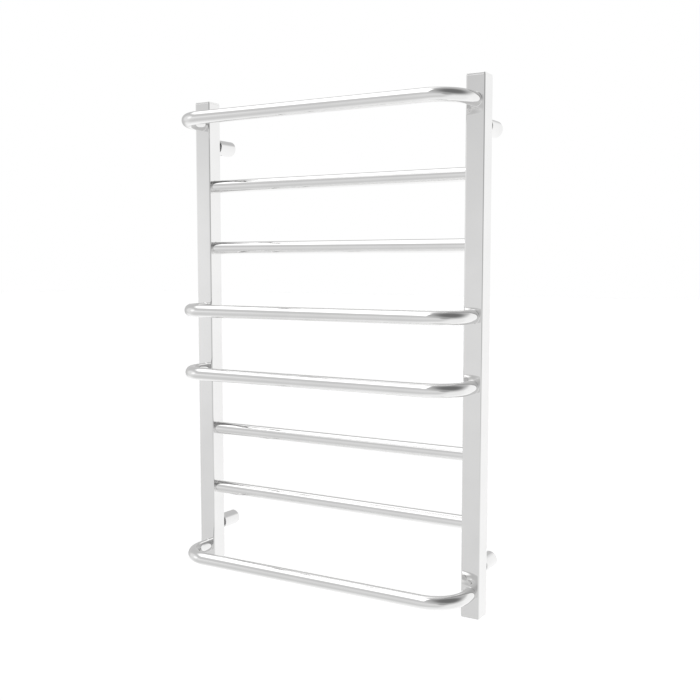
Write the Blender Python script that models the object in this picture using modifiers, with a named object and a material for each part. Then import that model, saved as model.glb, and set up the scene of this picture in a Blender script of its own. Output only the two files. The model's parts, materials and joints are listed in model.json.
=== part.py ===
# Wall-hung ladder towel warmer with four bow rails and four straight rails.
# Metres, +Z up. The wall is the plane Y = 0 and the rack stands in front of it, towards -Y.
# X = 0 and Z = 0 are the centre of the four wall posts.

import math

import bmesh
import bpy
from mathutils import Vector

# Driving dimensions
UPRIGHT_SPACING = 0.500      # between the uprights' centre lines, and between the wall posts
POST_SPACING = 0.660         # between the upper and the lower wall posts
RACK_HEIGHT = 0.803          # over the end caps
UPRIGHT_SIDE = 0.030
UPRIGHT_WALL = 0.0015
UPRIGHT_CORNER = 0.0025
STAND_OFF = 0.0455           # from the wall to the uprights' backs
CAP_THICKNESS = 0.0022
CAP_INSET = 0.0004           # how far a cap's sides stand back from the upright's faces
CAP_ROUNDING = 0.0004
CAP_PLUG_DEPTH = 0.006
RAIL_RADIUS = 0.01065
RAIL_WALL = 0.0012
RAIL_COUNT = 8
RAIL_PITCH = 0.104
BOW_RAILS = (1, 4, 5, 8)     # counted from the top; the others are straight
BOW_REACH = 0.067            # from the uprights' front faces to the bow rails' centre lines
BOW_BEND_RADIUS = 0.048
SLEEVE_RADIUS = 0.0127
SLEEVE_WALL = 0.0012
SLEEVE_LENGTH = 0.0387
BASE_LENGTH = 0.034
BASE_FLOOR = 0.004
SPIGOT_RADIUS = 0.008
SPIGOT_WALL = 0.002
SPIGOT_ENGAGEMENT = 0.0195   # how far a spigot reaches into its wall base
GRUB_RADIUS = 0.002
GRUB_FROM_WALL = 0.026
WALL_SCREW_OFFSET = 0.0052
WALL_SCREW_HOLE_RADIUS = 0.0019
CABLE_HOLE_OFFSET = -0.0036
CABLE_HOLE_RADIUS = 0.0042
CABLE_RADIUS = 0.002
CABLE_BEND = 0.008
LEAD_RADIUS = 0.0015
RETURN_OFFSET = (0.008, 0.0085)
BLOCK_SIZE = (0.018, 0.013, 0.022)
BLOCK_HEIGHT = -0.300
BLOCK_TERMINALS = (-0.004, 0.004)
CUTOUT_RADIUS = 0.0045
CUTOUT_LENGTH = 0.024
CUTOUT_HEIGHT = 0.310
STUD_HEIGHT = -0.352
THROUGH = 0.0005             # how far a tube's end passes through the wall it is welded to
GAP = 0.0003                 # between pieces that touch
MERGE_DISTANCE = 0.00001

# Worked out from them
HALF_SPACING = UPRIGHT_SPACING / 2
HALF_POSTS = POST_SPACING / 2
TUBE_LENGTH = RACK_HEIGHT - 2 * (CAP_THICKNESS + GAP)
RACK_Y = -STAND_OFF - UPRIGHT_SIDE / 2
UPRIGHT_INSIDE = UPRIGHT_SIDE - 2 * UPRIGHT_WALL
HOLE_RADIUS = RAIL_RADIUS + GAP
RAIL_END = HALF_SPACING - UPRIGHT_INSIDE / 2 + THROUGH
BOW_LEG_END = -UPRIGHT_INSIDE / 2 + THROUGH
BASE_RADIUS = SLEEVE_RADIUS - SLEEVE_WALL - GAP
BORE_RADIUS = SPIGOT_RADIUS + GAP
SPIGOT_START = -BASE_LENGTH + SPIGOT_ENGAGEMENT
SPIGOT_END = -STAND_OFF - UPRIGHT_WALL - THROUGH
SUPPLY_X = HALF_SPACING      # the supply comes in at the lower right post

SIDES = {"left": -1, "right": 1}
LEVELS = {"lower": -1, "upper": 1}
ALONG_X = (0, math.pi / 2, 0)
ALONG_Y = (-math.pi / 2, 0, 0)
UPSIDE_DOWN = (math.pi, 0, 0)
TOWARDS_FRONT = (math.pi / 2, 0, 0)

MATERIALS = {
    "polished_steel": ((0.80, 0.81, 0.82), 0.06, 1.0),
    "chrome": ((0.84, 0.85, 0.86), 0.05, 1.0),
    "turned_steel": ((0.55, 0.55, 0.56), 0.30, 1.0),
    "brass": ((0.78, 0.60, 0.30), 0.28, 1.0),
    "silicone": ((0.45, 0.10, 0.07), 0.60, 0.0),
    "pvc": ((0.05, 0.12, 0.45), 0.50, 0.0),
    "black_rubber": ((0.03, 0.03, 0.03), 0.75, 0.0),
    "ceramic": ((0.88, 0.86, 0.80), 0.35, 0.0),
    "phenolic": ((0.20, 0.09, 0.05), 0.45, 0.0),
}


def rail_height(number):
    return RAIL_PITCH * ((RAIL_COUNT + 1) / 2 - number)


def clear_scene():
    for item in list(bpy.data.objects):
        bpy.data.objects.remove(item, do_unlink=True)


def new_collection(name, parent):
    collection = bpy.data.collections.new(name)
    parent.children.link(collection)
    return collection


def make_material(name, colour, roughness, metallic):
    material = bpy.data.materials.new(name)
    material.use_nodes = True
    shader = material.node_tree.nodes["Principled BSDF"]
    shader.inputs["Base Color"].default_value = (*colour, 1)
    shader.inputs["Roughness"].default_value = roughness
    shader.inputs["Metallic"].default_value = metallic
    material.diffuse_color = (*colour, 1)
    return material


def shade(mesh, crease_degrees=35):
    mesh.shade_smooth()
    mesh.set_sharp_from_angle(angle=math.radians(crease_degrees))


def mesh_from(work):
    mesh = bpy.data.meshes.new("mesh")
    work.to_mesh(mesh)
    work.free()
    return mesh


def place(name, mesh, material, location, rotation=(0, 0, 0), parent=None):
    shade(mesh)
    part = bpy.data.objects.new(name, mesh)
    part.location = location
    part.rotation_euler = rotation
    part.parent = parent
    mesh.materials.append(bpy.data.materials[material])
    parts.objects.link(part)
    return part


# Shapes

def cylinder_mesh(radius, length, sides=24):
    work = bmesh.new()
    bmesh.ops.create_cone(work, cap_ends=True, segments=sides, radius1=radius, radius2=radius, depth=length)
    return mesh_from(work)


def box_mesh(size):
    work = bmesh.new()
    bmesh.ops.create_cube(work, size=1)
    bmesh.ops.scale(work, vec=size, verts=work.verts)
    return mesh_from(work)


def curve_mesh(curve):
    # The curve becomes a mesh with its seams closed, ready for modifiers.
    carrier = bpy.data.objects.new("carrier", curve)
    cutters.objects.link(carrier)
    evaluated = carrier.evaluated_get(bpy.context.evaluated_depsgraph_get())
    mesh = bpy.data.meshes.new_from_object(evaluated)
    bpy.data.objects.remove(carrier)
    work = bmesh.new()
    work.from_mesh(mesh)
    bmesh.ops.remove_doubles(work, verts=work.verts, dist=MERGE_DISTANCE)
    bmesh.ops.recalc_face_normals(work, faces=work.faces)
    bpy.data.meshes.remove(mesh)
    return mesh_from(work)


def rounded_square(side, corner, corner_steps=4):
    points = []
    inset = side / 2 - corner
    for quarter in range(4):
        centre = Vector((inset, 0)) + Vector((0, inset))
        turn = quarter * math.pi / 2
        for step in range(corner_steps + 1):
            angle = step / corner_steps * math.pi / 2
            point = centre + Vector((corner * math.cos(angle), corner * math.sin(angle)))
            points.append((point.x * math.cos(turn) - point.y * math.sin(turn),
                           point.x * math.sin(turn) + point.y * math.cos(turn)))
    return points


def extruded_mesh(outlines, length):
    curve = bpy.data.curves.new("outline", "CURVE")
    curve.dimensions = "2D"
    curve.fill_mode = "BOTH"
    curve.extrude = length / 2
    for outline in outlines:
        spline = curve.splines.new("POLY")
        spline.points.add(len(outline) - 1)
        for point, (x, y) in zip(spline.points, outline):
            point.co = (x, y, 0, 1)
        spline.use_cyclic_u = True
    return curve_mesh(curve)


def swept_mesh(path, radius, bevel_resolution, capped):
    curve = bpy.data.curves.new("path", "CURVE")
    curve.dimensions = "3D"
    curve.bevel_depth = radius
    curve.bevel_resolution = bevel_resolution
    curve.use_fill_caps = capped
    spline = curve.splines.new("POLY")
    spline.points.add(len(path) - 1)
    for point, place_on_path in zip(spline.points, path):
        point.co = (*place_on_path, 1)
    return curve_mesh(curve)


def rounded_path(corners, radius, steps):
    # Straight runs between the corners, joined by arcs.
    path = [Vector(corners[0])]
    for before, corner, after in zip(corners, corners[1:], corners[2:]):
        corner = Vector(corner)
        arrive = (corner - Vector(before)).normalized()
        leave = (Vector(after) - corner).normalized()
        turn = arrive.angle(leave)
        setback = radius * math.tan(turn / 2)
        start = corner - arrive * setback
        inward = (leave - arrive * arrive.dot(leave)).normalized()
        for step in range(steps + 1):
            angle = turn * step / steps
            path.append(start + arrive * radius * math.sin(angle) + inward * radius * (1 - math.cos(angle)))
    path.append(Vector(corners[-1]))
    return path


def turned(name, profile, material, location, rotation, parent=None, sides=24):
    # The profile is (radius, height) points, down its outer side first. One that starts and ends
    # on the axis makes a solid piece, and any other is closed into a ring.
    work = bmesh.new()
    points = [work.verts.new((radius, 0, height)) for radius, height in profile]
    followers = points[1:] if profile[0][0] == 0 else points[1:] + points[:1]
    for start, end in zip(points, followers):
        work.edges.new((start, end))
    part = place(name, mesh_from(work), material, location, rotation, parent)
    screw = part.modifiers.new("Turn", "SCREW")
    screw.axis = "Z"
    screw.steps = sides
    screw.render_steps = sides
    screw.use_merge_vertices = True
    screw.merge_threshold = MERGE_DISTANCE
    screw.use_smooth_shade = True
    return part


def cutter(name, mesh, location, rotation=(0, 0, 0)):
    tool = bpy.data.objects.new(name, mesh)
    tool.location = location
    tool.rotation_euler = rotation
    tool.hide_render = True
    tool.display_type = "WIRE"
    return tool


def cut(part, tools):
    group = new_collection(part.name + "_cutters", cutters)
    for tool in tools:
        group.objects.link(tool)
    boolean = part.modifiers.new("Holes", "BOOLEAN")
    boolean.operation = "DIFFERENCE"
    boolean.operand_type = "COLLECTION"
    boolean.collection = group
    boolean.solver = "EXACT"


# The rack

def add_upright(side_name, rack):
    side = SIDES[side_name]
    x = side * HALF_SPACING
    outer = rounded_square(UPRIGHT_SIDE, UPRIGHT_CORNER)
    inner = rounded_square(UPRIGHT_INSIDE, UPRIGHT_CORNER - UPRIGHT_WALL, corner_steps=1)
    mesh = extruded_mesh([outer, inner], TUBE_LENGTH)
    upright = place("upright_" + side_name, mesh, "polished_steel", (x, 0, 0), parent=rack)
    tools = []
    for number in range(1, RAIL_COUNT + 1):
        height = rail_height(number)
        rail_hole = cylinder_mesh(HOLE_RADIUS, 2 * UPRIGHT_CORNER)
        if number in BOW_RAILS:
            location = (x, RACK_Y - UPRIGHT_SIDE / 2, height)
            rotation = ALONG_Y
        else:
            location = (x - side * UPRIGHT_SIDE / 2, RACK_Y, height)
            rotation = ALONG_X
        tools.append(cutter("rail_hole", rail_hole, location, rotation))
    for level in LEVELS.values():
        spigot_hole = cylinder_mesh(BORE_RADIUS, 2 * UPRIGHT_CORNER)
        tools.append(cutter("spigot_hole", spigot_hole, (x, -STAND_OFF, level * HALF_POSTS), ALONG_Y))
    cut(upright, tools)


def end_cap_mesh():
    # A plate with its upper edges rounded, and a locating plug below it.
    side = UPRIGHT_SIDE - 2 * CAP_INSET
    work = bmesh.new()
    bmesh.ops.create_cube(work, size=1)
    bmesh.ops.scale(work, vec=(side, side, CAP_THICKNESS), verts=work.verts)
    upright_edges = [edge for edge in work.edges if abs(edge.verts[0].co.z - edge.verts[1].co.z) > GAP]
    bmesh.ops.bevel(work, geom=upright_edges, offset=UPRIGHT_CORNER - CAP_INSET, segments=4,
                    profile=0.5, affect="EDGES")
    upper_face = max(work.faces, key=lambda face: face.calc_center_median().z)
    bmesh.ops.bevel(work, geom=list(upper_face.edges), offset=CAP_ROUNDING, segments=2,
                    profile=0.5, affect="EDGES")
    lower_face = min(work.faces, key=lambda face: face.calc_center_median().z)
    bmesh.ops.inset_region(work, faces=[lower_face], thickness=UPRIGHT_WALL + 1.5 * GAP - CAP_INSET)
    plug = bmesh.ops.extrude_face_region(work, geom=[lower_face])
    plug_verts = [item for item in plug["geom"] if isinstance(item, bmesh.types.BMVert)]
    bmesh.ops.translate(work, vec=(0, 0, -CAP_PLUG_DEPTH), verts=plug_verts)
    bmesh.ops.delete(work, geom=[lower_face], context="FACES_ONLY")
    bmesh.ops.recalc_face_normals(work, faces=work.faces)
    return mesh_from(work)


def add_end_caps(rack):
    height = (RACK_HEIGHT - CAP_THICKNESS) / 2
    for side_name, side in SIDES.items():
        x = side * HALF_SPACING
        place("end_cap_top_" + side_name, end_cap_mesh(), "polished_steel", (x, 0, height), parent=rack)
        place("end_cap_bottom_" + side_name, end_cap_mesh(), "polished_steel", (x, 0, -height),
              UPSIDE_DOWN, rack)


def tube(name, path, rack, height):
    mesh = swept_mesh(path, RAIL_RADIUS, bevel_resolution=7, capped=False)
    rail = place(name, mesh, "polished_steel", (0, 0, height), parent=rack)
    solidify = rail.modifiers.new("Wall", "SOLIDIFY")
    solidify.thickness = RAIL_WALL
    solidify.offset = -1
    solidify.use_even_offset = True


def bow_corners():
    front = -UPRIGHT_SIDE / 2 - BOW_REACH
    return [(HALF_SPACING, BOW_LEG_END, 0), (HALF_SPACING, front, 0),
            (-HALF_SPACING, front, 0), (-HALF_SPACING, BOW_LEG_END, 0)]


def add_rails(rack):
    bow_path = rounded_path(bow_corners(), BOW_BEND_RADIUS, steps=7)
    straight_path = [(-RAIL_END, 0, 0), (RAIL_END, 0, 0)]
    bow_count = 0
    straight_count = 0
    for number in range(1, RAIL_COUNT + 1):
        if number in BOW_RAILS:
            bow_count += 1
            tube(f"bow_rail_{bow_count}", bow_path, rack, rail_height(number))
        else:
            straight_count += 1
            tube(f"straight_rail_{straight_count}", straight_path, rack, rail_height(number))


# Wall posts

def add_wall_base(name, x, z):
    edge = 0.0005
    profile = [(0, BASE_FLOOR), (BORE_RADIUS, BASE_FLOOR), (BORE_RADIUS, BASE_LENGTH),
               (BASE_RADIUS - edge, BASE_LENGTH), (BASE_RADIUS, BASE_LENGTH - edge), (BASE_RADIUS, 0), (0, 0)]
    base = turned(name, profile, "turned_steel", (x, 0, z), TOWARDS_FRONT)
    cable_hole = cylinder_mesh(CABLE_HOLE_RADIUS, 3 * BASE_FLOOR)
    screw_hole = cylinder_mesh(WALL_SCREW_HOLE_RADIUS, 3 * BASE_FLOOR, sides=16)
    grub_hole = cylinder_mesh(GRUB_RADIUS + GAP, 2 * BASE_RADIUS, sides=16)
    cut(base, [
        cutter("cable_hole", cable_hole, (x + CABLE_HOLE_OFFSET, 0, z), ALONG_Y),
        cutter("screw_hole", screw_hole, (x + WALL_SCREW_OFFSET, 0, z), ALONG_Y),
        cutter("grub_hole", grub_hole, (x, -GRUB_FROM_WALL, z - BASE_RADIUS)),
    ])


def add_wall_sleeve(name, x, z):
    inner = SLEEVE_RADIUS - SLEEVE_WALL
    edge = SLEEVE_WALL / 3
    profile = [(SLEEVE_RADIUS, SLEEVE_LENGTH - edge), (SLEEVE_RADIUS, 0), (inner, 0),
               (inner, SLEEVE_LENGTH), (SLEEVE_RADIUS - edge, SLEEVE_LENGTH)]
    sleeve = turned(name, profile, "chrome", (x, 0, z), TOWARDS_FRONT, sides=32)
    grub_hole = cylinder_mesh(GRUB_RADIUS + GAP, 2 * BASE_RADIUS, sides=16)
    cut(sleeve, [cutter("grub_hole", grub_hole, (x, -GRUB_FROM_WALL, z - BASE_RADIUS))])


def add_spigot(name, x, z, rack):
    inner = SPIGOT_RADIUS - SPIGOT_WALL
    length = SPIGOT_START - SPIGOT_END
    lead_in = 0.0006
    profile = [(SPIGOT_RADIUS, length), (SPIGOT_RADIUS, lead_in), (SPIGOT_RADIUS - lead_in, 0),
               (inner, 0), (inner, length)]
    turned(name, profile, "chrome", (x, SPIGOT_START - RACK_Y, z), TOWARDS_FRONT, rack)


def add_grub_screw(name, x, z):
    # It clamps the spigot from below and stands flush with the sleeve.
    length = SLEEVE_RADIUS - SPIGOT_RADIUS - GAP
    clearance = 0.0002
    socket_radius = GRUB_RADIUS / 2
    middle = z - SPIGOT_RADIUS - clearance - length / 2
    grub = place(name, cylinder_mesh(GRUB_RADIUS, length, sides=16), "turned_steel",
                 (x, -GRUB_FROM_WALL, middle))
    socket = cylinder_mesh(socket_radius, length, sides=6)
    cut(grub, [cutter("socket", socket, (x, -GRUB_FROM_WALL, middle - length / 2))])


def add_wall_posts(rack):
    for level_name, level in LEVELS.items():
        for side_name, side in SIDES.items():
            x = side * HALF_SPACING
            z = level * HALF_POSTS
            tail = f"{level_name}_{side_name}"
            add_wall_base("wall_base_" + tail, x, z)
            add_wall_sleeve("wall_sleeve_" + tail, x, z)
            add_spigot("rack_spigot_" + tail, x, z, rack)
            add_grub_screw("grub_screw_" + tail, x, z)


# Electrical pieces

def add_supply_grommet():
    flange_width = 0.0006
    flange_thickness = 0.0013
    rubber_wall = 0.0008
    neck = CABLE_HOLE_RADIUS - GAP
    flange = neck + flange_width
    passage = neck - rubber_wall
    neck_length = BASE_FLOOR + GAP
    flange_height = neck_length + flange_thickness
    profile = [(flange, flange_height), (flange, neck_length), (neck, neck_length), (neck, 0),
               (passage, 0), (passage, flange_height)]
    turned("supply_grommet", profile, "black_rubber",
           (SUPPLY_X + CABLE_HOLE_OFFSET, 0, -HALF_POSTS), TOWARDS_FRONT)


def heating_route():
    # From the terminal block through every rail in turn, bottom to top.
    front = -UPRIGHT_SIDE / 2 - BOW_REACH
    start_x = SUPPLY_X + BLOCK_TERMINALS[0]
    route = [(start_x, 0, BLOCK_HEIGHT - BLOCK_SIZE[2] / 2 - GAP),
             (start_x, 0, (BLOCK_HEIGHT + rail_height(RAIL_COUNT)) / 2)]
    side = 1
    for number in range(RAIL_COUNT, 0, -1):
        height = rail_height(number)
        x = side * HALF_SPACING
        route.append((x, 0, height))
        if number in BOW_RAILS:
            route.append((x, front, height))
            route.append((-x, front, height))
        route.append((-x, 0, height))
        side = -side
    route.append((side * HALF_SPACING, 0, CUTOUT_HEIGHT + CUTOUT_LENGTH / 2 + GAP))
    return route


def add_heating_cable(rack):
    route = heating_route()
    path = [Vector(route[0])]
    for index in range(1, len(route) - 1):
        at_bow = route[index][1] < 0
        radius = BOW_BEND_RADIUS if at_bow else CABLE_BEND
        bend = rounded_path(route[index - 1:index + 2], radius, steps=5 if at_bow else 3)
        path.extend(bend[1:-1])
    path.append(Vector(route[-1]))
    mesh = swept_mesh(path, CABLE_RADIUS, bevel_resolution=1, capped=True)
    place("heating_cable", mesh, "silicone", (0, 0, 0), parent=rack)


def add_thermal_cutout(rack):
    edge = 0.0008
    mesh = cylinder_mesh(CUTOUT_RADIUS, CUTOUT_LENGTH, sides=20)
    cutout = place("thermal_cutout", mesh, "phenolic", (SUPPLY_X, 0, CUTOUT_HEIGHT), parent=rack)
    bevel = cutout.modifiers.new("Edges", "BEVEL")
    bevel.width = edge
    bevel.segments = 2
    bevel.limit_method = "ANGLE"
    bevel.angle_limit = math.radians(60)


def add_return_lead(rack):
    aside_x = SUPPLY_X + RETURN_OFFSET[0]
    aside_y = RETURN_OFFSET[1]
    top = CUTOUT_HEIGHT - CUTOUT_LENGTH / 2 - GAP
    bottom = BLOCK_HEIGHT + BLOCK_SIZE[2] / 2 + GAP
    terminal_x = SUPPLY_X + BLOCK_TERMINALS[1]
    slack = 0.012
    bend = 0.005
    corners = [(SUPPLY_X, 0, top), (SUPPLY_X, 0, top - slack / 2), (aside_x, aside_y, top - 2 * slack),
               (aside_x, aside_y, bottom + 1.5 * slack), (terminal_x, 0, bottom + slack / 2),
               (terminal_x, 0, bottom)]
    mesh = swept_mesh(rounded_path(corners, bend, steps=3), LEAD_RADIUS, bevel_resolution=1, capped=True)
    place("return_lead", mesh, "pvc", (0, 0, 0), parent=rack)


def add_terminal_block(rack):
    edge = 0.001
    pocket_radius = 0.0028
    pocket_depth = 0.006
    head_height = 0.004
    slot_length = 2.4 * pocket_radius
    slot_width = 0.0007
    front = -BLOCK_SIZE[1] / 2
    block = place("terminal_block", box_mesh(BLOCK_SIZE), "ceramic", (SUPPLY_X, 0, BLOCK_HEIGHT), parent=rack)
    bevel = block.modifiers.new("Edges", "BEVEL")
    bevel.width = edge
    bevel.segments = 2
    pockets = []
    for offset in BLOCK_TERMINALS:
        pocket = cylinder_mesh(pocket_radius, 2 * pocket_depth, sides=16)
        pockets.append(cutter("pocket", pocket, (SUPPLY_X + offset, RACK_Y + front, BLOCK_HEIGHT), ALONG_Y))
    cut(block, pockets)
    for label, offset in zip(("live", "neutral"), BLOCK_TERMINALS):
        x = SUPPLY_X + offset
        y = front + pocket_depth - GAP - head_height / 2
        screw = place("terminal_screw_" + label, cylinder_mesh(pocket_radius - GAP, head_height, sides=16),
                      "brass", (x, y, BLOCK_HEIGHT), ALONG_Y, rack)
        slot = box_mesh((slot_length, head_height / 2, slot_width))
        cut(screw, [cutter("slot", slot, (x, RACK_Y + y - head_height / 2, BLOCK_HEIGHT))])


def add_earth_point(rack):
    # A welded stud on the inner back wall, with a ring tag and a nut.
    back = UPRIGHT_INSIDE / 2 - GAP
    foot_radius = 0.0035
    foot_height = 0.001
    shank_radius = 0.002
    shank_beyond_nut = 0.0025
    tag_radius = 0.0042
    tag_thickness = 0.0008
    nut_radius = 0.004
    nut_height = 0.0032
    shank_end = foot_height + 2 * GAP + tag_thickness + nut_height + shank_beyond_nut
    profile = [(0, shank_end), (shank_radius, shank_end), (shank_radius, foot_height),
               (foot_radius, foot_height), (foot_radius, 0), (0, 0)]
    turned("earth_stud", profile, "brass", (SUPPLY_X, back, STUD_HEIGHT), TOWARDS_FRONT, rack, sides=16)
    hole = shank_radius + GAP
    tag_y = back - foot_height - GAP
    tag_ring = [(tag_radius, tag_thickness), (tag_radius, 0), (hole, 0), (hole, tag_thickness)]
    turned("earth_tag", tag_ring, "brass", (SUPPLY_X, tag_y, STUD_HEIGHT), TOWARDS_FRONT, rack, sides=16)
    nut_y = tag_y - tag_thickness - GAP - nut_height / 2
    nut = place("earth_nut", cylinder_mesh(nut_radius, nut_height, sides=6), "brass",
                (SUPPLY_X, nut_y, STUD_HEIGHT), TOWARDS_FRONT, rack)
    nut_hole = cylinder_mesh(hole, 2 * nut_height, sides=16)
    cut(nut, [cutter("nut_hole", nut_hole, (SUPPLY_X, RACK_Y + nut_y, STUD_HEIGHT), ALONG_Y)])


clear_scene()
parts = new_collection("towel_warmer_rack", bpy.context.scene.collection)
cutters = new_collection("cutters", bpy.context.scene.collection)
for material_name, finish in MATERIALS.items():
    make_material(material_name, *finish)

rack_slide = bpy.data.objects.new("rack_slide", None)
rack_slide.location = (0, RACK_Y, 0)
parts.objects.link(rack_slide)

for upright_side in SIDES:
    add_upright(upright_side, rack_slide)
add_end_caps(rack_slide)
add_rails(rack_slide)
add_wall_posts(rack_slide)
add_supply_grommet()
add_heating_cable(rack_slide)
add_thermal_cutout(rack_slide)
add_return_lead(rack_slide)
add_terminal_block(rack_slide)
add_earth_point(rack_slide)
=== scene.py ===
import json
import math

import bmesh
import bpy
from mathutils import Matrix, Vector


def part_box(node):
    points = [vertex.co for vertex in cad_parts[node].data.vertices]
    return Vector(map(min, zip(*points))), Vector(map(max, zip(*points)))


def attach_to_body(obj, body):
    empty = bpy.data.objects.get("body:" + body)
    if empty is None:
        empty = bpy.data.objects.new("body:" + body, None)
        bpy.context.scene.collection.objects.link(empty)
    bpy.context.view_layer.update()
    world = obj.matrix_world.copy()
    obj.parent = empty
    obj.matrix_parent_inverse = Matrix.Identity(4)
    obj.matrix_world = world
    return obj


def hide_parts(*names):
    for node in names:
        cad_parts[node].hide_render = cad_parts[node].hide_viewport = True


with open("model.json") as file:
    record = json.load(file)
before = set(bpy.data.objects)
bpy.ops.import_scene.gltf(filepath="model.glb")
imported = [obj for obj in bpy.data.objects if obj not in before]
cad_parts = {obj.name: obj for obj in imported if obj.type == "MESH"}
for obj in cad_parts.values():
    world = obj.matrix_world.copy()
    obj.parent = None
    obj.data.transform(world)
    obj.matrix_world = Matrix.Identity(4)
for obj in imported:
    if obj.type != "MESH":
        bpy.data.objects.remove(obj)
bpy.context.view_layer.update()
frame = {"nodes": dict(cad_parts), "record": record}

# Measures read off the frame.
rightLow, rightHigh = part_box("upright_right")
straightLow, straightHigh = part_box("straight_rail_1")
bowLow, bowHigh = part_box("bow_rail_1")
spigotLow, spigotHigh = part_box("rack_spigot_upper_right")
sleeveLow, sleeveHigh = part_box("wall_sleeve_upper_right")
baseLow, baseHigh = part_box("wall_base_upper_right")
grubLow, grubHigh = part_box("grub_screw_upper_right")

tubeSide = rightHigh.x - rightLow.x
halfSpacing = (rightLow.x + rightHigh.x) / 2
frontY, backY = rightLow.y, rightHigh.y
rackY = (frontY + backY) / 2
railRadius = (straightHigh.z - straightLow.z) / 2
railEnd = straightHigh.x
bowLineY = bowLow.y + railRadius
bowLegEndY = bowHigh.y
halfPosts = (sleeveLow.z + sleeveHigh.z) / 2
spigotRadius = (spigotHigh.z - spigotLow.z) / 2
sleeveRadius = (sleeveHigh.x - sleeveLow.x) / 2
baseRadius = (baseHigh.x - baseLow.x) / 2
grubRadius = (grubHigh.x - grubLow.x) / 2
tinyGap = 0.0003       # between pieces that fit into each other

sides = {"left": -1, "right": 1}
levels = {"lower": -1, "upper": 1}
corners = [f"{level}_{side}" for level in levels for side in sides]
bowNodes = [name for name in sorted(frame["nodes"]) if name.startswith("bow_rail")]
straightNodes = [name for name in sorted(frame["nodes"]) if name.startswith("straight_rail")]
bodyOfNode = {
    node: body for body, nodes in frame["record"]["behaviour"]["bodies"].items() for node in nodes
}


def middleOf(node):
    low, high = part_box(node)
    return (low + high) / 2


shot = {
    "place": (0.8160, -1.3821, 0.1286),
    "turn": 30.66,     # degrees to the left of straight ahead
    "dip": 5.07,       # degrees below level
    "lens": 49.75,
    "sensor": 36,
}


def setCamera():
    data = bpy.data.cameras.new("camera")
    data.lens = shot["lens"]
    data.sensor_width = shot["sensor"]
    camera = bpy.data.objects.new("camera", data)
    camera.location = shot["place"]
    camera.rotation_euler = (math.radians(90 - shot["dip"]), 0, math.radians(shot["turn"]))
    bpy.context.scene.collection.objects.link(camera)
    bpy.context.scene.camera = camera


class Wire:
    # What comes out of a node; sums written on it add Math nodes.
    def __init__(self, bench, socket):
        self.bench = bench
        self.socket = socket

    def __add__(self, other):
        return self.bench.maths("ADD", self, other)

    def __radd__(self, other):
        return self.bench.maths("ADD", other, self)

    def __sub__(self, other):
        return self.bench.maths("SUBTRACT", self, other)

    def __rsub__(self, other):
        return self.bench.maths("SUBTRACT", other, self)

    def __mul__(self, other):
        return self.bench.maths("MULTIPLY", self, other)

    def __rmul__(self, other):
        return self.bench.maths("MULTIPLY", other, self)

    def __truediv__(self, other):
        return self.bench.maths("DIVIDE", self, other)

    def __gt__(self, other):
        return self.bench.maths("GREATER_THAN", self, other)


class Bench:
    # A node tree being built, shader or geometry.
    def __init__(self, tree):
        self.tree = tree

    def node(self, kind, settings=None, sockets=None, output=0):
        made = self.tree.nodes.new(kind)
        for name, value in (settings or {}).items():
            if name == "stops":
                self.setStops(made.color_ramp, value)
            elif name == "captured":
                made.capture_items.new(value, "Kept")
            else:
                setattr(made, name, value)
        for key, value in (sockets or {}).items():
            if isinstance(value, Wire):
                self.tree.links.new(value.socket, made.inputs[key])
            else:
                made.inputs[key].default_value = value
        return Wire(self, made.outputs[output])

    def setStops(self, ramp, stops):
        while len(ramp.elements) > 1:
            ramp.elements.remove(ramp.elements[-1])
        for index, (position, level) in enumerate(stops):
            element = ramp.elements[0] if index == 0 else ramp.elements.new(position)
            element.position = position
            element.color = (level, level, level, 1)

    def maths(self, operation, first, second=0.0):
        return self.node("ShaderNodeMath", {"operation": operation}, {0: first, 1: second})

    def link(self, wire, socket):
        self.tree.links.new(wire.socket, socket)

    def finish(self, kind, last):
        # Links the last socket to an output node's first one.
        self.link(last, self.tree.nodes.new(kind).inputs[0])

    def outputsOf(self, wire):
        return [Wire(self, socket) for socket in wire.socket.node.outputs]

    def parts(self, vector):
        return self.outputsOf(self.node("ShaderNodeSeparateXYZ", None, {0: vector}))

    def vector(self, x, y, z):
        return self.node("ShaderNodeCombineXYZ", None, {0: x, 1: y, 2: z})

    def blend(self, share, first, second):
        return self.node("ShaderNodeMix", {"data_type": "RGBA"}, {0: share, 6: first, 7: second}, output=2)

    def ramp(self, value, fromLow, fromHigh, toLow=0.0, toHigh=1.0, smooth=False):
        settings = {"interpolation_type": "SMOOTHSTEP" if smooth else "LINEAR"}
        sockets = {0: value, 1: fromLow, 2: fromHigh, 3: toLow, 4: toHigh}
        return self.node("ShaderNodeMapRange", settings, sockets)

    def noise(self, place, scale, detail=2.0, rough=0.5):
        sockets = {"Vector": place, "Scale": scale, "Detail": detail, "Roughness": rough}
        return self.node("ShaderNodeTexNoise", None, sockets)

    def dot(self, first, second):
        settings = {"operation": "DOT_PRODUCT"}
        return self.node("ShaderNodeVectorMath", settings, {0: first, 1: second}, output="Value")

    def bump(self, strength, distance, height):
        sockets = {"Strength": strength, "Distance": distance, "Height": height}
        return self.node("ShaderNodeBump", None, sockets)


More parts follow.
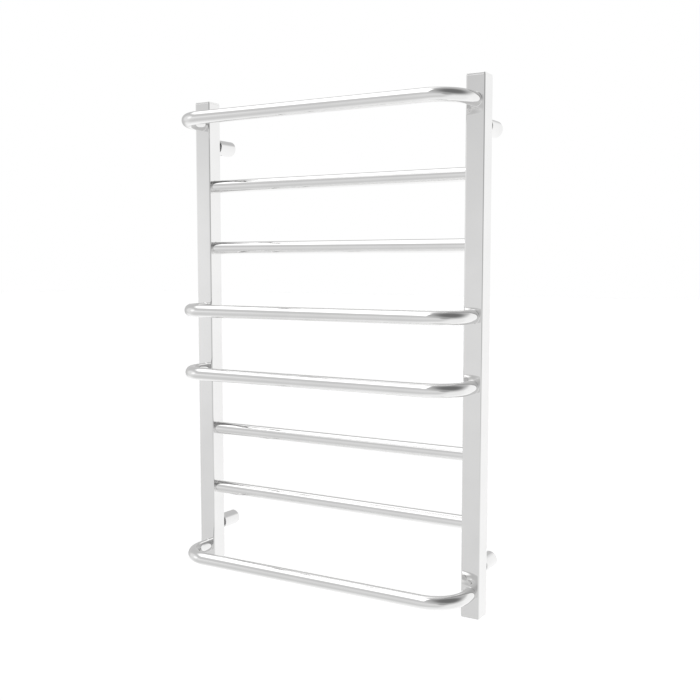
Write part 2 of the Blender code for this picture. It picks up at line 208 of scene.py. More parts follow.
# The studio, as seen from the rack.
# Bearings are in degrees: 0 is the front, 90 the right, 180 the wall. Heights are degrees above level.
studio = {
    "brightest": 1.2,                  # the most a level in "front" may be
    # height and level, all round
    "front": [(-90, 0.94), (-70, 1.00), (-58, 0.94), (-50, 0.84), (-43, 0.75), (-36, 0.70), (-28, 0.735),
              (-18, 0.78), (-11, 0.808), (-4, 0.825), (1, 0.815), (5, 0.775), (8, 0.74), (11, 0.70),
              (15, 0.685), (30, 0.67), (90, 0.64)],
    "behindLow": 1.06,                 # wall side, below and above a soft edge
    "behindFall": 0.0012,              # how much dimmer per degree of height
    "behindHigh": 0.62,
    "behindEdge": 9,
    "behindFrom": 116,                 # degrees off straight behind where the wall side starts to show
    "behindTo": 52,
    "behindSlope": (-55, -17, 5, 28),  # bearing off straight behind, height of the edge there; twice
    # bearing, height, full within, gone beyond, level
    "patches": [
        (88, -42, 12, 42, 1.00),       # light from low on the right
        (-76, 4, 10, 29, 0.90),        # glow round the window
        (70, 48, 26, 68, 0.43),        # dark screen and its core
        (74, 45, 13, 45, 0.18),
        (48, 3, 3, 20, 0.42),          # the screen's foot
        (-62, 5, 3, 15, 1.20),         # window
        (-46, -1, 3, 13, 0.93),        # its near edge
    ],
    # the bright bank overhead on the left; its lower edge slopes with the bearing
    "bank": {"right": -10, "left": -143, "top": 76, "slope": -0.13, "bottom": 32, "edge": 8, "farEdge": 30,
             "level": 1.7},
    "floorHeight": -1.35,
    "floorSize": 80.0,
    "floorGlow": 0.35,
    "floorTones": (0.93, 0.96),
    "floorClouds": 2.0,
}


def spot(bench, direction, bearing, height, inner, outer):
    # 1 within the inner angle of a direction, 0 beyond the outer one.
    bearing, height, inner, outer = (math.radians(angle) for angle in (bearing, height, inner, outer))
    aim = (math.sin(bearing) * math.cos(height), -math.cos(bearing) * math.cos(height), math.sin(height))
    return bench.ramp(bench.dot(direction, aim), math.cos(outer), math.cos(inner), smooth=True)


def paintWorld():
    world = bpy.data.worlds.new("studio")
    bpy.context.scene.world = world
    world.use_nodes = True
    world.node_tree.nodes.clear()
    bench = Bench(world.node_tree)
    direction = bench.node("ShaderNodeTexCoord", output="Generated")
    x, y, z = bench.parts(direction)
    degrees = 180 / math.pi
    height = bench.maths("ARCSINE", z) * degrees
    bearing = bench.maths("ARCTAN2", x, y * -1.0) * degrees
    offBehind = bench.maths("ARCTAN2", x, y) * degrees

    brightest = studio["brightest"]
    stops = [((angle + 90) / 180, level / brightest) for angle, level in studio["front"]]
    light = brightest * bench.node("ShaderNodeValToRGB", {"stops": stops}, {0: bench.ramp(height, -90, 90)})

    lowBearing, lowHeight, highBearing, highHeight = studio["behindSlope"]
    edgeHeight = bench.ramp(offBehind, lowBearing, highBearing, lowHeight, highHeight)
    edge = studio["behindEdge"]
    above = bench.ramp(height - edgeHeight, -edge, edge, smooth=True)
    behind = studio["behindLow"] - studio["behindFall"] * height
    behind = behind + (studio["behindHigh"] - behind) * above
    aside = bench.maths("ABSOLUTE", offBehind)
    share = bench.ramp(aside, studio["behindTo"], studio["behindFrom"], 1, 0, smooth=True)
    light = light + (behind - light) * share

    for bearingAt, heightAt, inner, outer, level in studio["patches"]:
        light = light + (level - light) * spot(bench, direction, bearingAt, heightAt, inner, outer)

    bank = studio["bank"]
    lowEdge = bank["bottom"] + bank["slope"] * bearing
    edge = bank["edge"]
    lit = (bench.ramp(bearing - bank["left"], -bank["farEdge"], bank["farEdge"], smooth=True)
           * bench.ramp(bank["right"] - bearing, -edge / 2, edge / 2, smooth=True)
           * bench.ramp(height - lowEdge, -edge, edge, smooth=True)
           * bench.ramp(bank["top"] - height, -edge, edge, smooth=True))
    light = light + (bank["level"] - light) * lit

    seen = bench.node("ShaderNodeLightPath", output="Is Camera Ray")
    plain = bench.node("ShaderNodeBackground", None, {0: (1, 1, 1, 1)})
    glow = bench.node("ShaderNodeBackground", None, {0: light})
    mixed = bench.node("ShaderNodeMixShader", None, {0: seen, 1: glow, 2: plain})
    bench.finish("ShaderNodeOutputWorld", mixed)


def layFloor():
    work = bmesh.new()
    bmesh.ops.create_grid(work, x_segments=1, y_segments=1, size=studio["floorSize"] / 2)
    bmesh.ops.translate(work, vec=(0, 0, studio["floorHeight"]), verts=work.verts)
    material, bench, shader = principled("paleFloor", Roughness=0.9)
    shader.inputs["Emission Color"].default_value = (1, 1, 1, 1)
    shader.inputs["Emission Strength"].default_value = studio["floorGlow"]
    low, high = studio["floorTones"]
    clouds = bench.noise(fromObject(bench), studio["floorClouds"])
    bench.link(bench.blend(clouds, (low, low, low, 1), (high, high, high, 1)), shader.inputs["Base Color"])
    floor = addObject("floor", makeMesh(work), material)
    floor.visible_glossy = False


def principled(name, **constants):
    material = bpy.data.materials.new(name)
    material.use_nodes = True
    shader = material.node_tree.nodes["Principled BSDF"]
    for key, value in constants.items():
        shader.inputs[key.replace("_", " ")].default_value = value
    return material, Bench(material.node_tree), shader


def fromObject(bench):
    return bench.node("ShaderNodeTexCoord", output="Object")


def fromTube(bench):
    # Along the tube in X and round it in Y and Z, however the tube is bent.
    return bench.node("ShaderNodeAttribute", {"attribute_name": "straightened"}, output="Vector")


steelFinish = {
    "colour": (0.836, 0.834, 0.832),
    "roughness": (0.02, 0.06),
    "hairStretch": (1.0, 1.0, 0.02),   # polishing hairs run along the tube
    "hairScale": 900.0,
    "hairDepth": 0.02,
    "hairHeight": 0.0001,
    "cloudScale": 18.0,
    "cloudRange": (0.35, 0.65),
    "cloudShare": 0.6,         # of the roughness; the rest follows the hairs
    "cloudDulls": 0.97,
}

tubeFinish = dict(steelFinish, hairStretch=(0.02, 1.0, 1.0))
chromeFinish = dict(steelFinish, roughness=(0.02, 0.05), hairDepth=0.01)


def shinyMaterial(name, finish, coordinates):
    material, bench, shader = principled(name, Metallic=1.0)
    place = coordinates(bench)
    stretched = bench.node("ShaderNodeMapping", None, {"Vector": place, "Scale": finish["hairStretch"]})
    hairs = bench.noise(stretched, finish["hairScale"], detail=3.0, rough=0.6)
    cloud = bench.noise(place, finish["cloudScale"], detail=3.0)
    low, high = finish["roughness"]
    share = finish["cloudShare"]
    roughness = low + (high - low) * (share * cloud + (1 - share) * hairs)
    dull = [finish["cloudDulls"] * channel for channel in finish["colour"]]
    colour = bench.blend(bench.ramp(cloud, *finish["cloudRange"]), (*dull, 1), (*finish["colour"], 1))
    bump = bench.bump(finish["hairDepth"], finish["hairHeight"], hairs)
    bench.link(colour, shader.inputs["Base Color"])
    bench.link(roughness, shader.inputs["Roughness"])
    bench.link(bump, shader.inputs["Normal"])
    return material


turnedFinish = {
    "light": (0.62, 0.62, 0.63),
    "dark": (0.42, 0.42, 0.43),
    "roughness": (0.22, 0.38),
    "marks": 5200.0,       # per metre of the tool's way
    "markRange": (0.3, 0.7),
    "markDepth": 0.25,
    "markHeight": 0.00004,
}


def turnedMaterial(name, finish):
    # Lathe marks run round each post's own axis, on its faces and along its barrel.
    material, bench, shader = principled(name, Metallic=1.0)
    x, y, z = bench.parts(fromObject(bench))
    across = bench.maths("ABSOLUTE", x) - halfSpacing
    up = bench.maths("ABSOLUTE", z) - halfPosts
    fromAxis = bench.maths("SQRT", across * across + up * up)
    marks = bench.node("ShaderNodeTexNoise", {"noise_dimensions": "1D"},
                       {"W": (fromAxis + y) * finish["marks"], "Scale": 1.0, "Detail": 2.0})
    low, high = finish["roughness"]
    tone = bench.ramp(marks, *finish["markRange"])
    colour = bench.blend(tone, (*finish["dark"], 1), (*finish["light"], 1))
    bump = bench.bump(finish["markDepth"], finish["markHeight"], marks)
    bench.link(colour, shader.inputs["Base Color"])
    bench.link(high - (high - low) * marks, shader.inputs["Roughness"])
    bench.link(bump, shader.inputs["Normal"])
    return material


# Finishes of the small pieces: two colours mixed by a cloud, fine grain on top.
plainFinishes = {
    "brass": {"metallic": 1.0, "light": (0.80, 0.62, 0.32), "dark": (0.62, 0.45, 0.20),
              "roughness": (0.20, 0.36), "cloud": 260.0, "grain": 2500.0, "depth": 0.10},
    "silicone": {"metallic": 0.0, "light": (0.50, 0.12, 0.08), "dark": (0.38, 0.08, 0.055),
                 "roughness": (0.50, 0.68), "cloud": 120.0, "grain": 3200.0, "depth": 0.20},
    "pvc": {"metallic": 0.0, "light": (0.06, 0.14, 0.48), "dark": (0.04, 0.10, 0.38),
            "roughness": (0.38, 0.52), "cloud": 150.0, "grain": 2200.0, "depth": 0.10},
    "black_rubber": {"metallic": 0.0, "light": (0.040, 0.040, 0.042), "dark": (0.018, 0.018, 0.019),
                     "roughness": (0.62, 0.80), "cloud": 300.0, "grain": 4200.0, "depth": 0.35},
    "ceramic": {"metallic": 0.0, "light": (0.90, 0.88, 0.82), "dark": (0.80, 0.77, 0.70),
                "roughness": (0.22, 0.42), "cloud": 180.0, "grain": 3600.0, "depth": 0.12},
    "phenolic": {"metallic": 0.0, "light": (0.24, 0.11, 0.06), "dark": (0.14, 0.06, 0.035),
                 "roughness": (0.34, 0.52), "cloud": 420.0, "grain": 2800.0, "depth": 0.18},
}


plainGrain = {
    "cloudRange": (0.3, 0.7),
    "height": 0.0001,
}


def plainMaterial(name, finish):
    material, bench, shader = principled(name, Metallic=finish["metallic"])
    place = fromObject(bench)
    cloud = bench.noise(place, finish["cloud"], detail=4.0)
    grain = bench.noise(place, finish["grain"], detail=3.0, rough=0.6)
    low, high = finish["roughness"]
    tone = bench.ramp(cloud, *plainGrain["cloudRange"])
    colour = bench.blend(tone, (*finish["dark"], 1), (*finish["light"], 1))
    bump = bench.bump(finish["depth"], plainGrain["height"], grain)
    bench.link(colour, shader.inputs["Base Color"])
    bench.link(low + (high - low) * (0.5 * cloud + 0.5 * grain), shader.inputs["Roughness"])
    bench.link(bump, shader.inputs["Normal"])
    return material


def makeMesh(work):
    mesh = bpy.data.meshes.new("mesh")
    work.to_mesh(mesh)
    work.free()
    return mesh


def keepEdges(mesh, degrees=32):
    mesh.shade_smooth()
    mesh.set_sharp_from_angle(angle=math.radians(degrees))


def addObject(name, mesh, material):
    item = bpy.data.objects.new(name, mesh)
    if material:
        mesh.materials.clear()
        mesh.materials.append(material)
    bpy.context.scene.collection.objects.link(item)
    return item


def settle(item):
    # Turns what the modifiers make into a plain mesh.
    graph = bpy.context.evaluated_depsgraph_get()
    mesh = bpy.data.meshes.new_from_object(item.evaluated_get(graph), depsgraph=graph)
    name = item.name
    bpy.data.objects.remove(item)
    return name, mesh


def attach(item, slotName, *nodes):
    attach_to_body(item, bodyOfNode[nodes[0]])
    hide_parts(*nodes)


def pieceName(kind, tail):
    return kind + tail.title().replace("_", "")


def newTree(name, inputs):
    # A Geometry Nodes tree with named inputs, given back as its bench and the inputs' wires.
    tree = bpy.data.node_groups.new(name, "GeometryNodeTree")
    for label, kind in inputs.items():
        tree.interface.new_socket(label, in_out="INPUT", socket_type="NodeSocket" + kind)
    tree.interface.new_socket("Mesh", in_out="OUTPUT", socket_type="NodeSocketGeometry")
    bench = Bench(tree)
    group = tree.nodes.new("NodeGroupInput")
    return bench, [Wire(bench, group.outputs[label]) for label in inputs]


def endTree(bench, geometry, material):
    smooth = bench.node("GeometryNodeSetShadeSmooth", None, {"Geometry": geometry})
    real = bench.node("GeometryNodeRealizeInstances", None, {"Geometry": smooth})
    bench.finish("NodeGroupOutput", bench.node("GeometryNodeSetMaterial", None,
                                               {"Geometry": real, "Material": material}))
    return bench.tree


def addNodes(item, tree, values):
    modifier = item.modifiers.new(tree.name, "NODES")
    modifier.node_group = tree
    for socket in tree.interface.items_tree:
        if socket.name in values:
            modifier[socket.identifier] = values[socket.name]


tube = {
    "around": 64,
    "bendSteps": 40,
    "bendRadius": 0.048,
    "wall": 0.0012,
}


def bentTubeTree(material):
    bench, given = newTree("bentTube", {"Path": "Geometry", "Tube Radius": "Float", "Bend Radius": "Float",
                                        "Bend Steps": "Int", "Around": "Int"})
    path, radius, bend, steps, around = given
    bent = bench.node("GeometryNodeFilletCurve", {"mode": "POLY"},
                      {"Curve": path, "Radius": bend, "Count": steps})
    ring = bench.node("GeometryNodeCurvePrimitiveCircle", None, {"Resolution": around, "Radius": radius})
    along = bench.node("GeometryNodeSplineParameter", output="Length")
    place = bench.node("GeometryNodeInputPosition")
    path, along = bench.outputsOf(bench.node("GeometryNodeCaptureAttribute", {"captured": "FLOAT"},
                                             {0: bent, 1: along}))[:2]
    ring, place = bench.outputsOf(bench.node("GeometryNodeCaptureAttribute", {"captured": "VECTOR"},
                                             {0: ring, 1: place}))[:2]
    swept = bench.node("GeometryNodeCurveToMesh", None, {"Curve": path, "Profile Curve": ring})
    across = bench.parts(place)
    straightened = bench.vector(along, across[0], across[1])
    named = bench.node("GeometryNodeStoreNamedAttribute", {"data_type": "FLOAT_VECTOR", "domain": "POINT"},
                       {"Geometry": swept, "Name": "straightened", "Value": straightened})
    return endTree(bench, named, material)


def makeTube(name, points, tree):
    path = bpy.data.curves.new("path", "CURVE")
    path.dimensions = "3D"
    spline = path.splines.new("POLY")
    spline.points.add(len(points) - 1)
    for splinePoint, point in zip(spline.points, points):
        splinePoint.co = (*point, 1)
    holder = bpy.data.objects.new(name, path)
    bpy.context.scene.collection.objects.link(holder)
    addNodes(holder, tree, {"Tube Radius": railRadius, "Bend Radius": tube["bendRadius"],
                            "Bend Steps": tube["bendSteps"], "Around": tube["around"]})
    name, mesh = settle(holder)
    bpy.data.curves.remove(path)
    item = addObject(name, mesh, None)
    wall = item.modifiers.new("wall", "SOLIDIFY")
    wall.thickness = tube["wall"]
    wall.offset = -1
    wall.use_even_offset = True
    name, mesh = settle(item)
    keepEdges(mesh)
    return addObject(name, mesh, None)


def makeRails(material):
    tree = bentTubeTree(material)
    for number, node in enumerate(bowNodes, start=1):
        z = middleOf(node).z
        points = [(halfSpacing, bowLegEndY, z), (halfSpacing, bowLineY, z),
                  (-halfSpacing, bowLineY, z), (-halfSpacing, bowLegEndY, z)]
        attach(makeTube(f"bowTube{number}", points, tree), "polished_steel", node)
    for number, node in enumerate(straightNodes, start=1):
        z = middleOf(node).z
        points = [(-railEnd, rackY, z), (railEnd, rackY, z)]
        attach(makeTube(f"straightTube{number}", points, tree), "polished_steel", node)


def squareOutline(side, corner, steps):
    points = []
    inset = side / 2 - corner
    for quarter in range(4):
        turn = Matrix.Rotation(quarter * math.pi / 2, 2)
        for step in range(steps + 1):
            angle = step / steps * math.pi / 2
            along, across = corner * math.cos(angle), corner * math.sin(angle)
            points.append(turn @ Vector((inset + along, inset + across)))
    return points


def bridge(work, first, second):
    count = len(first)
    for index in range(count):
        after = (index + 1) % count
        work.faces.new((first[index], first[after], second[after], second[index]))


def loftSquares(line, centre, closed):
    # Joins rounded squares up the line's (inset, height) points; a closed line makes an open-ended tube.
    work = bmesh.new()
    rings = []
    for inset, z in line:
        outline = squareOutline(tubeSide - 2 * inset, upright["corner"] - inset, upright["cornerSteps"])
        rings.append([work.verts.new((centre.x + point.x, centre.y + point.y, z)) for point in outline])
    for first, second in zip(rings, rings[1:]):
        bridge(work, first, second)
    if closed:
        bridge(work, rings[-1], rings[0])
    else:
        work.faces.new(rings[0])
        work.faces.new(rings[-1])
    bmesh.ops.recalc_face_normals(work, faces=work.faces)
    return makeMesh(work)


def roundedEdge(inset, z, upward, radius, steps):
    # From the side of a square bar to its end face at height z.
    line = []
    for step in range(steps + 1):
        angle = step / steps * math.pi / 2
        line.append((inset + radius * (1 - math.cos(angle)), z - upward * radius * (1 - math.sin(angle))))
    return line


def cylinderTool(radius, length, centre, axis, around=64):
    work = bmesh.new()
    bmesh.ops.create_cone(work, cap_ends=True, segments=around, radius1=radius, radius2=radius,
                          depth=length)
    turn = Vector((0, 0, 1)).rotation_difference(Vector(axis)).to_matrix().to_4x4()
    bmesh.ops.transform(work, matrix=Matrix.Translation(centre) @ turn, verts=work.verts)
    return addObject("tool", makeMesh(work), None)


def drill(item, tools):
    group = bpy.data.collections.new("tools")
    for tool in tools:
        group.objects.link(tool)
    boolean = item.modifiers.new("holes", "BOOLEAN")
    boolean.operation = "DIFFERENCE"
    boolean.operand_type = "COLLECTION"
    boolean.collection = group
    boolean.solver = "EXACT"
    name, mesh = settle(item)
    for tool in tools:
        bpy.data.objects.remove(tool)
    bpy.data.collections.remove(group)
    return name, mesh


def evenNormals(name, mesh, material):
    # Flat faces stay flat to the eye beside their rounded edges.
    keepEdges(mesh)
    item = addObject(name, mesh, material)
    weigh = item.modifiers.new("weigh", "WEIGHTED_NORMAL")
    weigh.keep_sharp = True
    weigh.weight = 100
    name, mesh = settle(item)
    return addObject(name, mesh, None)


upright = {
    "wall": 0.0015,
    "corner": 0.0025,
    "cornerSteps": 12,
    "endRounding": 0.00045,
    "endSteps": 4,
}


def makeUpright(sideName, material):
    node = "upright_" + sideName
    low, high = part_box(node)
    centre = middleOf(node)
    wall = upright["wall"]
    rounding, steps = upright["endRounding"], upright["endSteps"]
    line = roundedEdge(0, low.z, -1, rounding, steps)[::-1] + roundedEdge(0, high.z, 1, rounding, steps)
    line += [(wall, high.z), (wall, low.z)]
    item = addObject("uprightTube" + sideName.title(), loftSquares(line, centre, closed=True), material)
    side = sides[sideName]
    depth = 2 * upright["corner"]
    tools = []
    for rail in bowNodes:
        place = (centre.x, frontY, middleOf(rail).z)
        tools.append(cylinderTool(railRadius + tinyGap, depth, place, (0, 1, 0)))
    for rail in straightNodes:
        place = (centre.x - side * tubeSide / 2, rackY, middleOf(rail).z)
        tools.append(cylinderTool(railRadius + tinyGap, depth, place, (1, 0, 0)))
    for level in levels.values():
        place = (centre.x, backY, level * halfPosts)
        tools.append(cylinderTool(spigotRadius + tinyGap, depth, place, (0, 1, 0)))
    name, mesh = drill(item, tools)
    attach(evenNormals(name, mesh, material), "polished_steel", node)


cap = {
    "inset": 0.0004,
    "rounding": 0.0004,
    "roundingSteps": 4,
    "plugClearance": 0.00045,
    "seat": 0.00002,       # the cap sits this far off the tube's end
}


def makeCap(levelName, sideName, material):
    node = f"end_cap_{levelName}_{sideName}"
    low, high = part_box(node)
    upward = 1 if levelName == "top" else -1
    outerZ, plugZ = (high.z, low.z) if upward > 0 else (low.z, high.z)
    seatZ = upward * (rightHigh.z + cap["seat"])
    plugInset = upright["wall"] + cap["plugClearance"]
    line = [(plugInset, plugZ), (plugInset, seatZ), (cap["inset"], seatZ)]
    line += roundedEdge(cap["inset"], outerZ, upward, cap["rounding"], cap["roundingSteps"])
    mesh = loftSquares(line, middleOf(node), closed=False)
    name = "endCap" + levelName.title() + sideName.title()
    attach(evenNormals(name, mesh, material), "polished_steel", node)


weld = {
    "railLeg": 0.0006,     # how far the fillet reaches along the tube and the upright
    "postLeg": 0.0007,
    "root": 0.0004,        # how deep it goes into the metal
    "around": 72,
    "across": 8,
    "wander": 0.18,        # how much the leg varies on its way round
    "ripple": 2.5,
    "mergeWithin": 0.000001,
    "seed": 4,
}


def weldTree(material):
    # A fillet bead, ground smooth, round each joint; its section closes below the surface.
    bench, given = newTree("filletWeld", {"Joints": "Geometry", "Tube Radius": "Float", "Leg": "Float",
                                          "Root": "Float", "Around": "Int", "Across": "Int",
                                          "Wander": "Float", "Ripple": "Float", "Merge": "Float",
                                          "Seed": "Int"})
    joints, radius, leg, root, around, across, wander, ripple, merge, seed = given
    grid = bench.node("GeometryNodeMeshGrid", None, {"Size X": 1.0, "Size Y": 1.0, "Vertices X": around + 1,
                                                     "Vertices Y": across + 5})
    alongX, alongY, _ = bench.parts(bench.node("GeometryNodeInputPosition"))
    angle = (alongX + 0.5) * (2 * math.pi)
    cosine, sine = bench.maths("COSINE", angle), bench.maths("SINE", angle)
    uneven = bench.noise(bench.vector(cosine, sine, 0.0), ripple) - 0.5
    leg = leg * (1 + 2 * wander * uneven)
    step = bench.maths("ROUND", (alongY + 0.5) * (across + 4))
    sweep = bench.maths("MINIMUM", step / across, 1.0) * (math.pi / 2)
    pastFace = step > across + 0.5        # down into the upright
    pastRoot = step > across + 1.5        # in under the tube's skin
    pastTube = step > across + 2.5        # back up inside the tube
    closing = step > across + 3.5         # and out to the start
    outward = radius + leg * (1 - bench.maths("COSINE", sweep))
    outward = outward + (radius - root - outward) * pastRoot + root * closing
    height = leg * (1 - bench.maths("SINE", sweep))
    height = height - root * pastFace + (root + leg) * pastTube
    place = bench.vector(outward * cosine, outward * sine, height)
    ring = bench.node("GeometryNodeSetPosition", None, {"Geometry": grid, "Position": place})
    ring = bench.node("GeometryNodeMergeByDistance", None, {"Geometry": ring, "Distance": merge})
    spin = bench.node("FunctionNodeRandomValue", {"data_type": "FLOAT"},
                      {2: 0.0, 3: 2 * math.pi, "Seed": seed}, output=1)
    spin = bench.node("FunctionNodeEulerToRotation", None, {0: bench.vector(0.0, 0.0, spin)})
    facing = bench.node("GeometryNodeInputNamedAttribute", {"data_type": "FLOAT_VECTOR"},
                        {"Name": "outward"})
    turn = bench.node("FunctionNodeAlignRotationToVector", {"axis": "Z"},
                      {"Rotation": spin, "Vector": facing})
    beads = bench.node("GeometryNodeInstanceOnPoints", None,
                       {"Points": joints, "Instance": ring, "Rotation": turn})
    return endTree(bench, beads, material)


def makeWelds(name, joints, radius, leg, tree):
    mesh = bpy.data.meshes.new(name)
    mesh.from_pydata([place for place, outward in joints], [], [])
    facing = mesh.attributes.new("outward", "FLOAT_VECTOR", "POINT")
    for point, (place, outward) in zip(facing.data, joints):
        point.vector = outward
    holder = addObject(name, mesh, None)
    addNodes(holder, tree, {"Tube Radius": radius, "Leg": leg, "Root": weld["root"],
                            "Around": weld["around"], "Across": weld["across"],
                            "Wander": weld["wander"], "Ripple": weld["ripple"],
                            "Merge": weld["mergeWithin"], "Seed": weld["seed"]})
    name, mesh = settle(holder)
    work = bmesh.new()
    work.from_mesh(mesh)
    bmesh.ops.recalc_face_normals(work, faces=work.faces)
    work.to_mesh(mesh)
    work.free()
    keepEdges(mesh, degrees=60)
    item = addObject(name, mesh, None)
    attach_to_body(item, bodyOfNode["upright_left"])


def weldRack(material):
    tree = weldTree(material)
    railJoints = []
    postJoints = []
    for side in sides.values():
        for node in bowNodes:
            railJoints.append(((side * halfSpacing, frontY, middleOf(node).z), (0, -1, 0)))
        for node in straightNodes:
            inner = side * (halfSpacing - tubeSide / 2)
            railJoints.append(((inner, rackY, middleOf(node).z), (-side, 0, 0)))
        for level in levels.values():
            postJoints.append(((side * halfSpacing, backY, level * halfPosts), (0, 1, 0)))
    makeWelds("railWelds", railJoints, railRadius, weld["railLeg"], tree)
    makeWelds("postWelds", postJoints, spigotRadius, weld["postLeg"], tree)


post = {
    "around": 96,
    "sleeveWall": 0.0012,
    "sleeveRounding": 0.0004,
    "baseChamfer": 0.0005,
    "baseFloor": 0.004,
    "spigotWall": 0.002,
    "spigotLead": 0.0006,
    "roundingSteps": 4,
    "cableHole": (-0.0036, 0.0042),    # to the side of the middle, radius
    "screwHole": (0.0052, 0.0019),
}


def arc(centre, radius, fromDegrees, toDegrees, steps):
    points = []
    for step in range(steps + 1):
        angle = math.radians(fromDegrees + (toDegrees - fromDegrees) * step / steps)
        points.append((centre[0] + radius * math.cos(angle), centre[1] + radius * math.sin(angle)))
    return points


def latheMesh(profile, centre, around, closed):
    # Turns (radius, depth) points about the centre's Y axis; depth runs from the wall to the front.
    work = bmesh.new()
    rings = []
    for radius, depth in profile:
        count = around if radius > 0 else 1
        rings.append([work.verts.new((centre.x + radius * math.cos(2 * math.pi * n / around), -depth,
                                      centre.z + radius * math.sin(2 * math.pi * n / around)))
                      for n in range(count)])
    pairs = list(zip(rings, rings[1:]))
    if closed:
        pairs.append((rings[-1], rings[0]))
    for first, second in pairs:
        for n in range(around):
            after = (n + 1) % around
            loop = [first[n % len(first)], first[after % len(first)],
                    second[after % len(second)], second[n % len(second)]]
            work.faces.new(list(dict.fromkeys(loop)))
    bmesh.ops.recalc_face_normals(work, faces=work.faces)
    return makeMesh(work)


def grubTool(tail, reach):
    grub = middleOf("grub_screw_" + tail)
    return cylinderTool(grubRadius + tinyGap, 2 * reach, (grub.x, grub.y, grub.z - reach), (0, 0, 1))


def makeSleeve(tail, material):
    node = "wall_sleeve_" + tail
    low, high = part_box(node)
    r = post["sleeveRounding"]
    inner = sleeveRadius - post["sleeveWall"]
    depth = -low.y
    steps = post["roundingSteps"]
    profile = arc((sleeveRadius - r, r), r, -90, 0, steps)
    profile += arc((sleeveRadius - r, depth - r), r, 0, 90, steps)
    profile += arc((inner + r, depth - r), r, 90, 180, steps)
    profile += [(inner, 0)]
    mesh = latheMesh(profile, middleOf(node), post["around"], closed=True)
    name, mesh = drill(addObject(pieceName("sleeve", tail), mesh, material), [grubTool(tail, sleeveRadius)])
    attach(evenNormals(name, mesh, material), "chrome", node)


def makeBase(tail, material):
    node = "wall_base_" + tail
    low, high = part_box(node)
    centre = middleOf(node)
    depth = -low.y
    edge = post["baseChamfer"]
    bore = spigotRadius + tinyGap
    floor = post["baseFloor"]
    profile = [(0, floor), (bore, floor), (bore, depth - edge), (bore + edge, depth),
               (baseRadius - edge, depth), (baseRadius, depth - edge), (baseRadius, edge),
               (baseRadius - edge, 0), (0, 0)]
    mesh = latheMesh(profile, centre, post["around"], closed=False)
    tools = [grubTool(tail, baseRadius)]
    for aside, radius in (post["cableHole"], post["screwHole"]):
        tools.append(cylinderTool(radius, 3 * floor, (centre.x + aside, 0, centre.z), (0, 1, 0)))
    name, mesh = drill(addObject(pieceName("base", tail), mesh, material), tools)
    attach(evenNormals(name, mesh, material), "turned_steel", node)


def makeSpigot(tail, material):
    node = "rack_spigot_" + tail
    low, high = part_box(node)
    lead = post["spigotLead"]
    inner = spigotRadius - post["spigotWall"]
    start, end = -high.y, -low.y
    profile = [(spigotRadius - lead, start), (spigotRadius, start + lead), (spigotRadius, end),
               (inner, end), (inner, start)]
    mesh = latheMesh(profile, middleOf(node), post["around"], closed=True)
    attach(evenNormals(pieceName("spigot", tail), mesh, material), "chrome", node)


grub = {
    "around": 40,
    "pitch": 0.0007,
    "rowsPerTurn": 8,
    "threadDepth": 0.0003,
    "chamfer": 0.0005,
    "socketRadius": 0.00115,   # across the corners
    "socketDepth": 0.0022,
}


def makeGrub(tail, material):
    node = "grub_screw_" + tail
    low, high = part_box(node)
    centre = middleOf(node)
    length = high.z - low.z
    rows = round(length / grub["pitch"] * grub["rowsPerTurn"])
    work = bmesh.new()
    rings = []
    for row in range(rows + 1):
        up = length * row / rows
        limit = grubRadius - max(0, grub["chamfer"] - min(up, length - up))
        ring = []
        for n in range(grub["around"]):
            share = n / grub["around"]
            angle = 2 * math.pi * share
            groove = abs(2 * ((up / grub["pitch"] - share) % 1) - 1)
            radius = min(limit, grubRadius - grub["threadDepth"] * groove)
            ring.append(work.verts.new((centre.x + radius * math.cos(angle),
                                        centre.y + radius * math.sin(angle), low.z + up)))
        rings.append(ring)
    for first, second in zip(rings, rings[1:]):
        bridge(work, first, second)
    work.faces.new(rings[0])
    work.faces.new(rings[-1])
    bmesh.ops.recalc_face_normals(work, faces=work.faces)
    item = addObject(pieceName("grubScrew", tail), makeMesh(work), material)
    socket = cylinderTool(grub["socketRadius"], 2 * grub["socketDepth"], (centre.x, centre.y, low.z),
                          (0, 0, 1), around=6)
    name, mesh = drill(item, [socket])
    keepEdges(mesh, degrees=50)
    attach(addObject(name, mesh, None), "turned_steel", node)


grommet = {
    "passage": 0.0031,
    "flangeRounding": 0.0004,
    "neckLength": 0.0043,
}


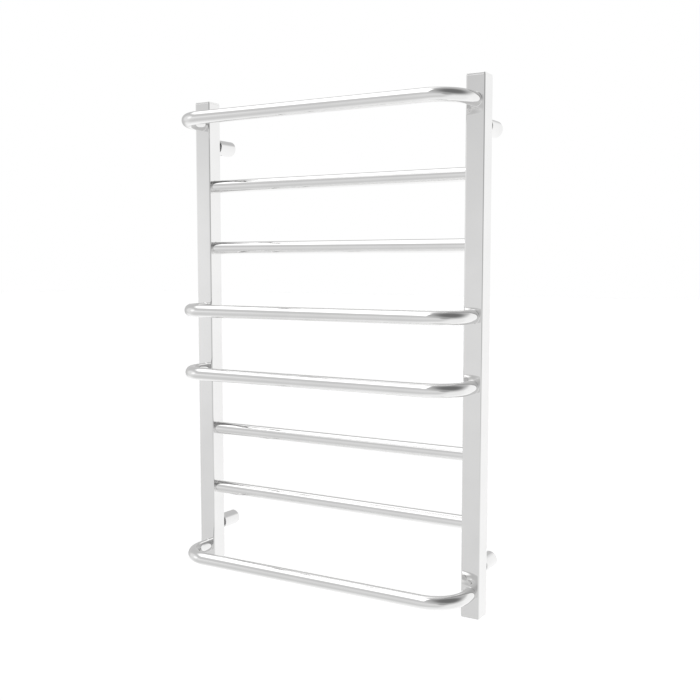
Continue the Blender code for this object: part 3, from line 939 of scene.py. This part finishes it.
def makeGrommet(material):
    node = "supply_grommet"
    low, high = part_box(node)
    flange = (high.x - low.x) / 2
    neck = post["cableHole"][1] - tinyGap
    depth = -low.y
    r = grommet["flangeRounding"]
    steps = post["roundingSteps"]
    profile = [(neck, 0), (neck, grommet["neckLength"])]
    profile += arc((flange - r, grommet["neckLength"] + r), r, -90, 0, steps)
    profile += arc((flange - r, depth - r), r, 0, 90, steps)
    profile += arc((grommet["passage"] + r, depth - r), r, 90, 180, steps)
    profile += arc((grommet["passage"] + r, r), r, 180, 270, steps)
    mesh = latheMesh(profile, middleOf(node), post["around"], closed=True)
    attach(evenNormals("supplyGrommet", mesh, material), "black_rubber", node)


# The pieces inside the right upright keep their own shapes.
innerNodes = {
    "heating_cable": "silicone",
    "thermal_cutout": "phenolic",
    "return_lead": "pvc",
    "terminal_block": "ceramic",
    "terminal_screw_live": "brass",
    "terminal_screw_neutral": "brass",
    "earth_stud": "brass",
    "earth_tag": "brass",
    "earth_nut": "brass",
}


def paintInside(plain):
    for node, finish in innerNodes.items():
        for slot in frame["nodes"][node].material_slots:
            slot.material = plain[finish]


def main():
    setCamera()
    paintWorld()
    layFloor()
    print("studio lit")
    steel = shinyMaterial("polishedSteel", steelFinish, fromObject)
    tubeSteel = shinyMaterial("polishedTube", tubeFinish, fromTube)
    chrome = shinyMaterial("chrome", chromeFinish, fromObject)
    turned = turnedMaterial("turnedSteel", turnedFinish)
    plain = {name: plainMaterial(pieceName("plain", name), finish)
             for name, finish in plainFinishes.items()}
    print("materials mixed")
    makeRails(tubeSteel)
    print("rails bent")
    for sideName in sides:
        makeUpright(sideName, steel)
        for levelName in ("top", "bottom"):
            makeCap(levelName, sideName, steel)
    print("uprights and caps cut")
    weldRack(steel)
    print("joints welded")
    for tail in corners:
        makeSleeve(tail, chrome)
        makeBase(tail, turned)
        makeSpigot(tail, chrome)
        makeGrub(tail, turned)
    print("wall posts turned")
    makeGrommet(plain["black_rubber"])
    paintInside(plain)
    print("inner pieces painted")


main()
bpy.context.scene.view_settings.view_transform = "Standard"
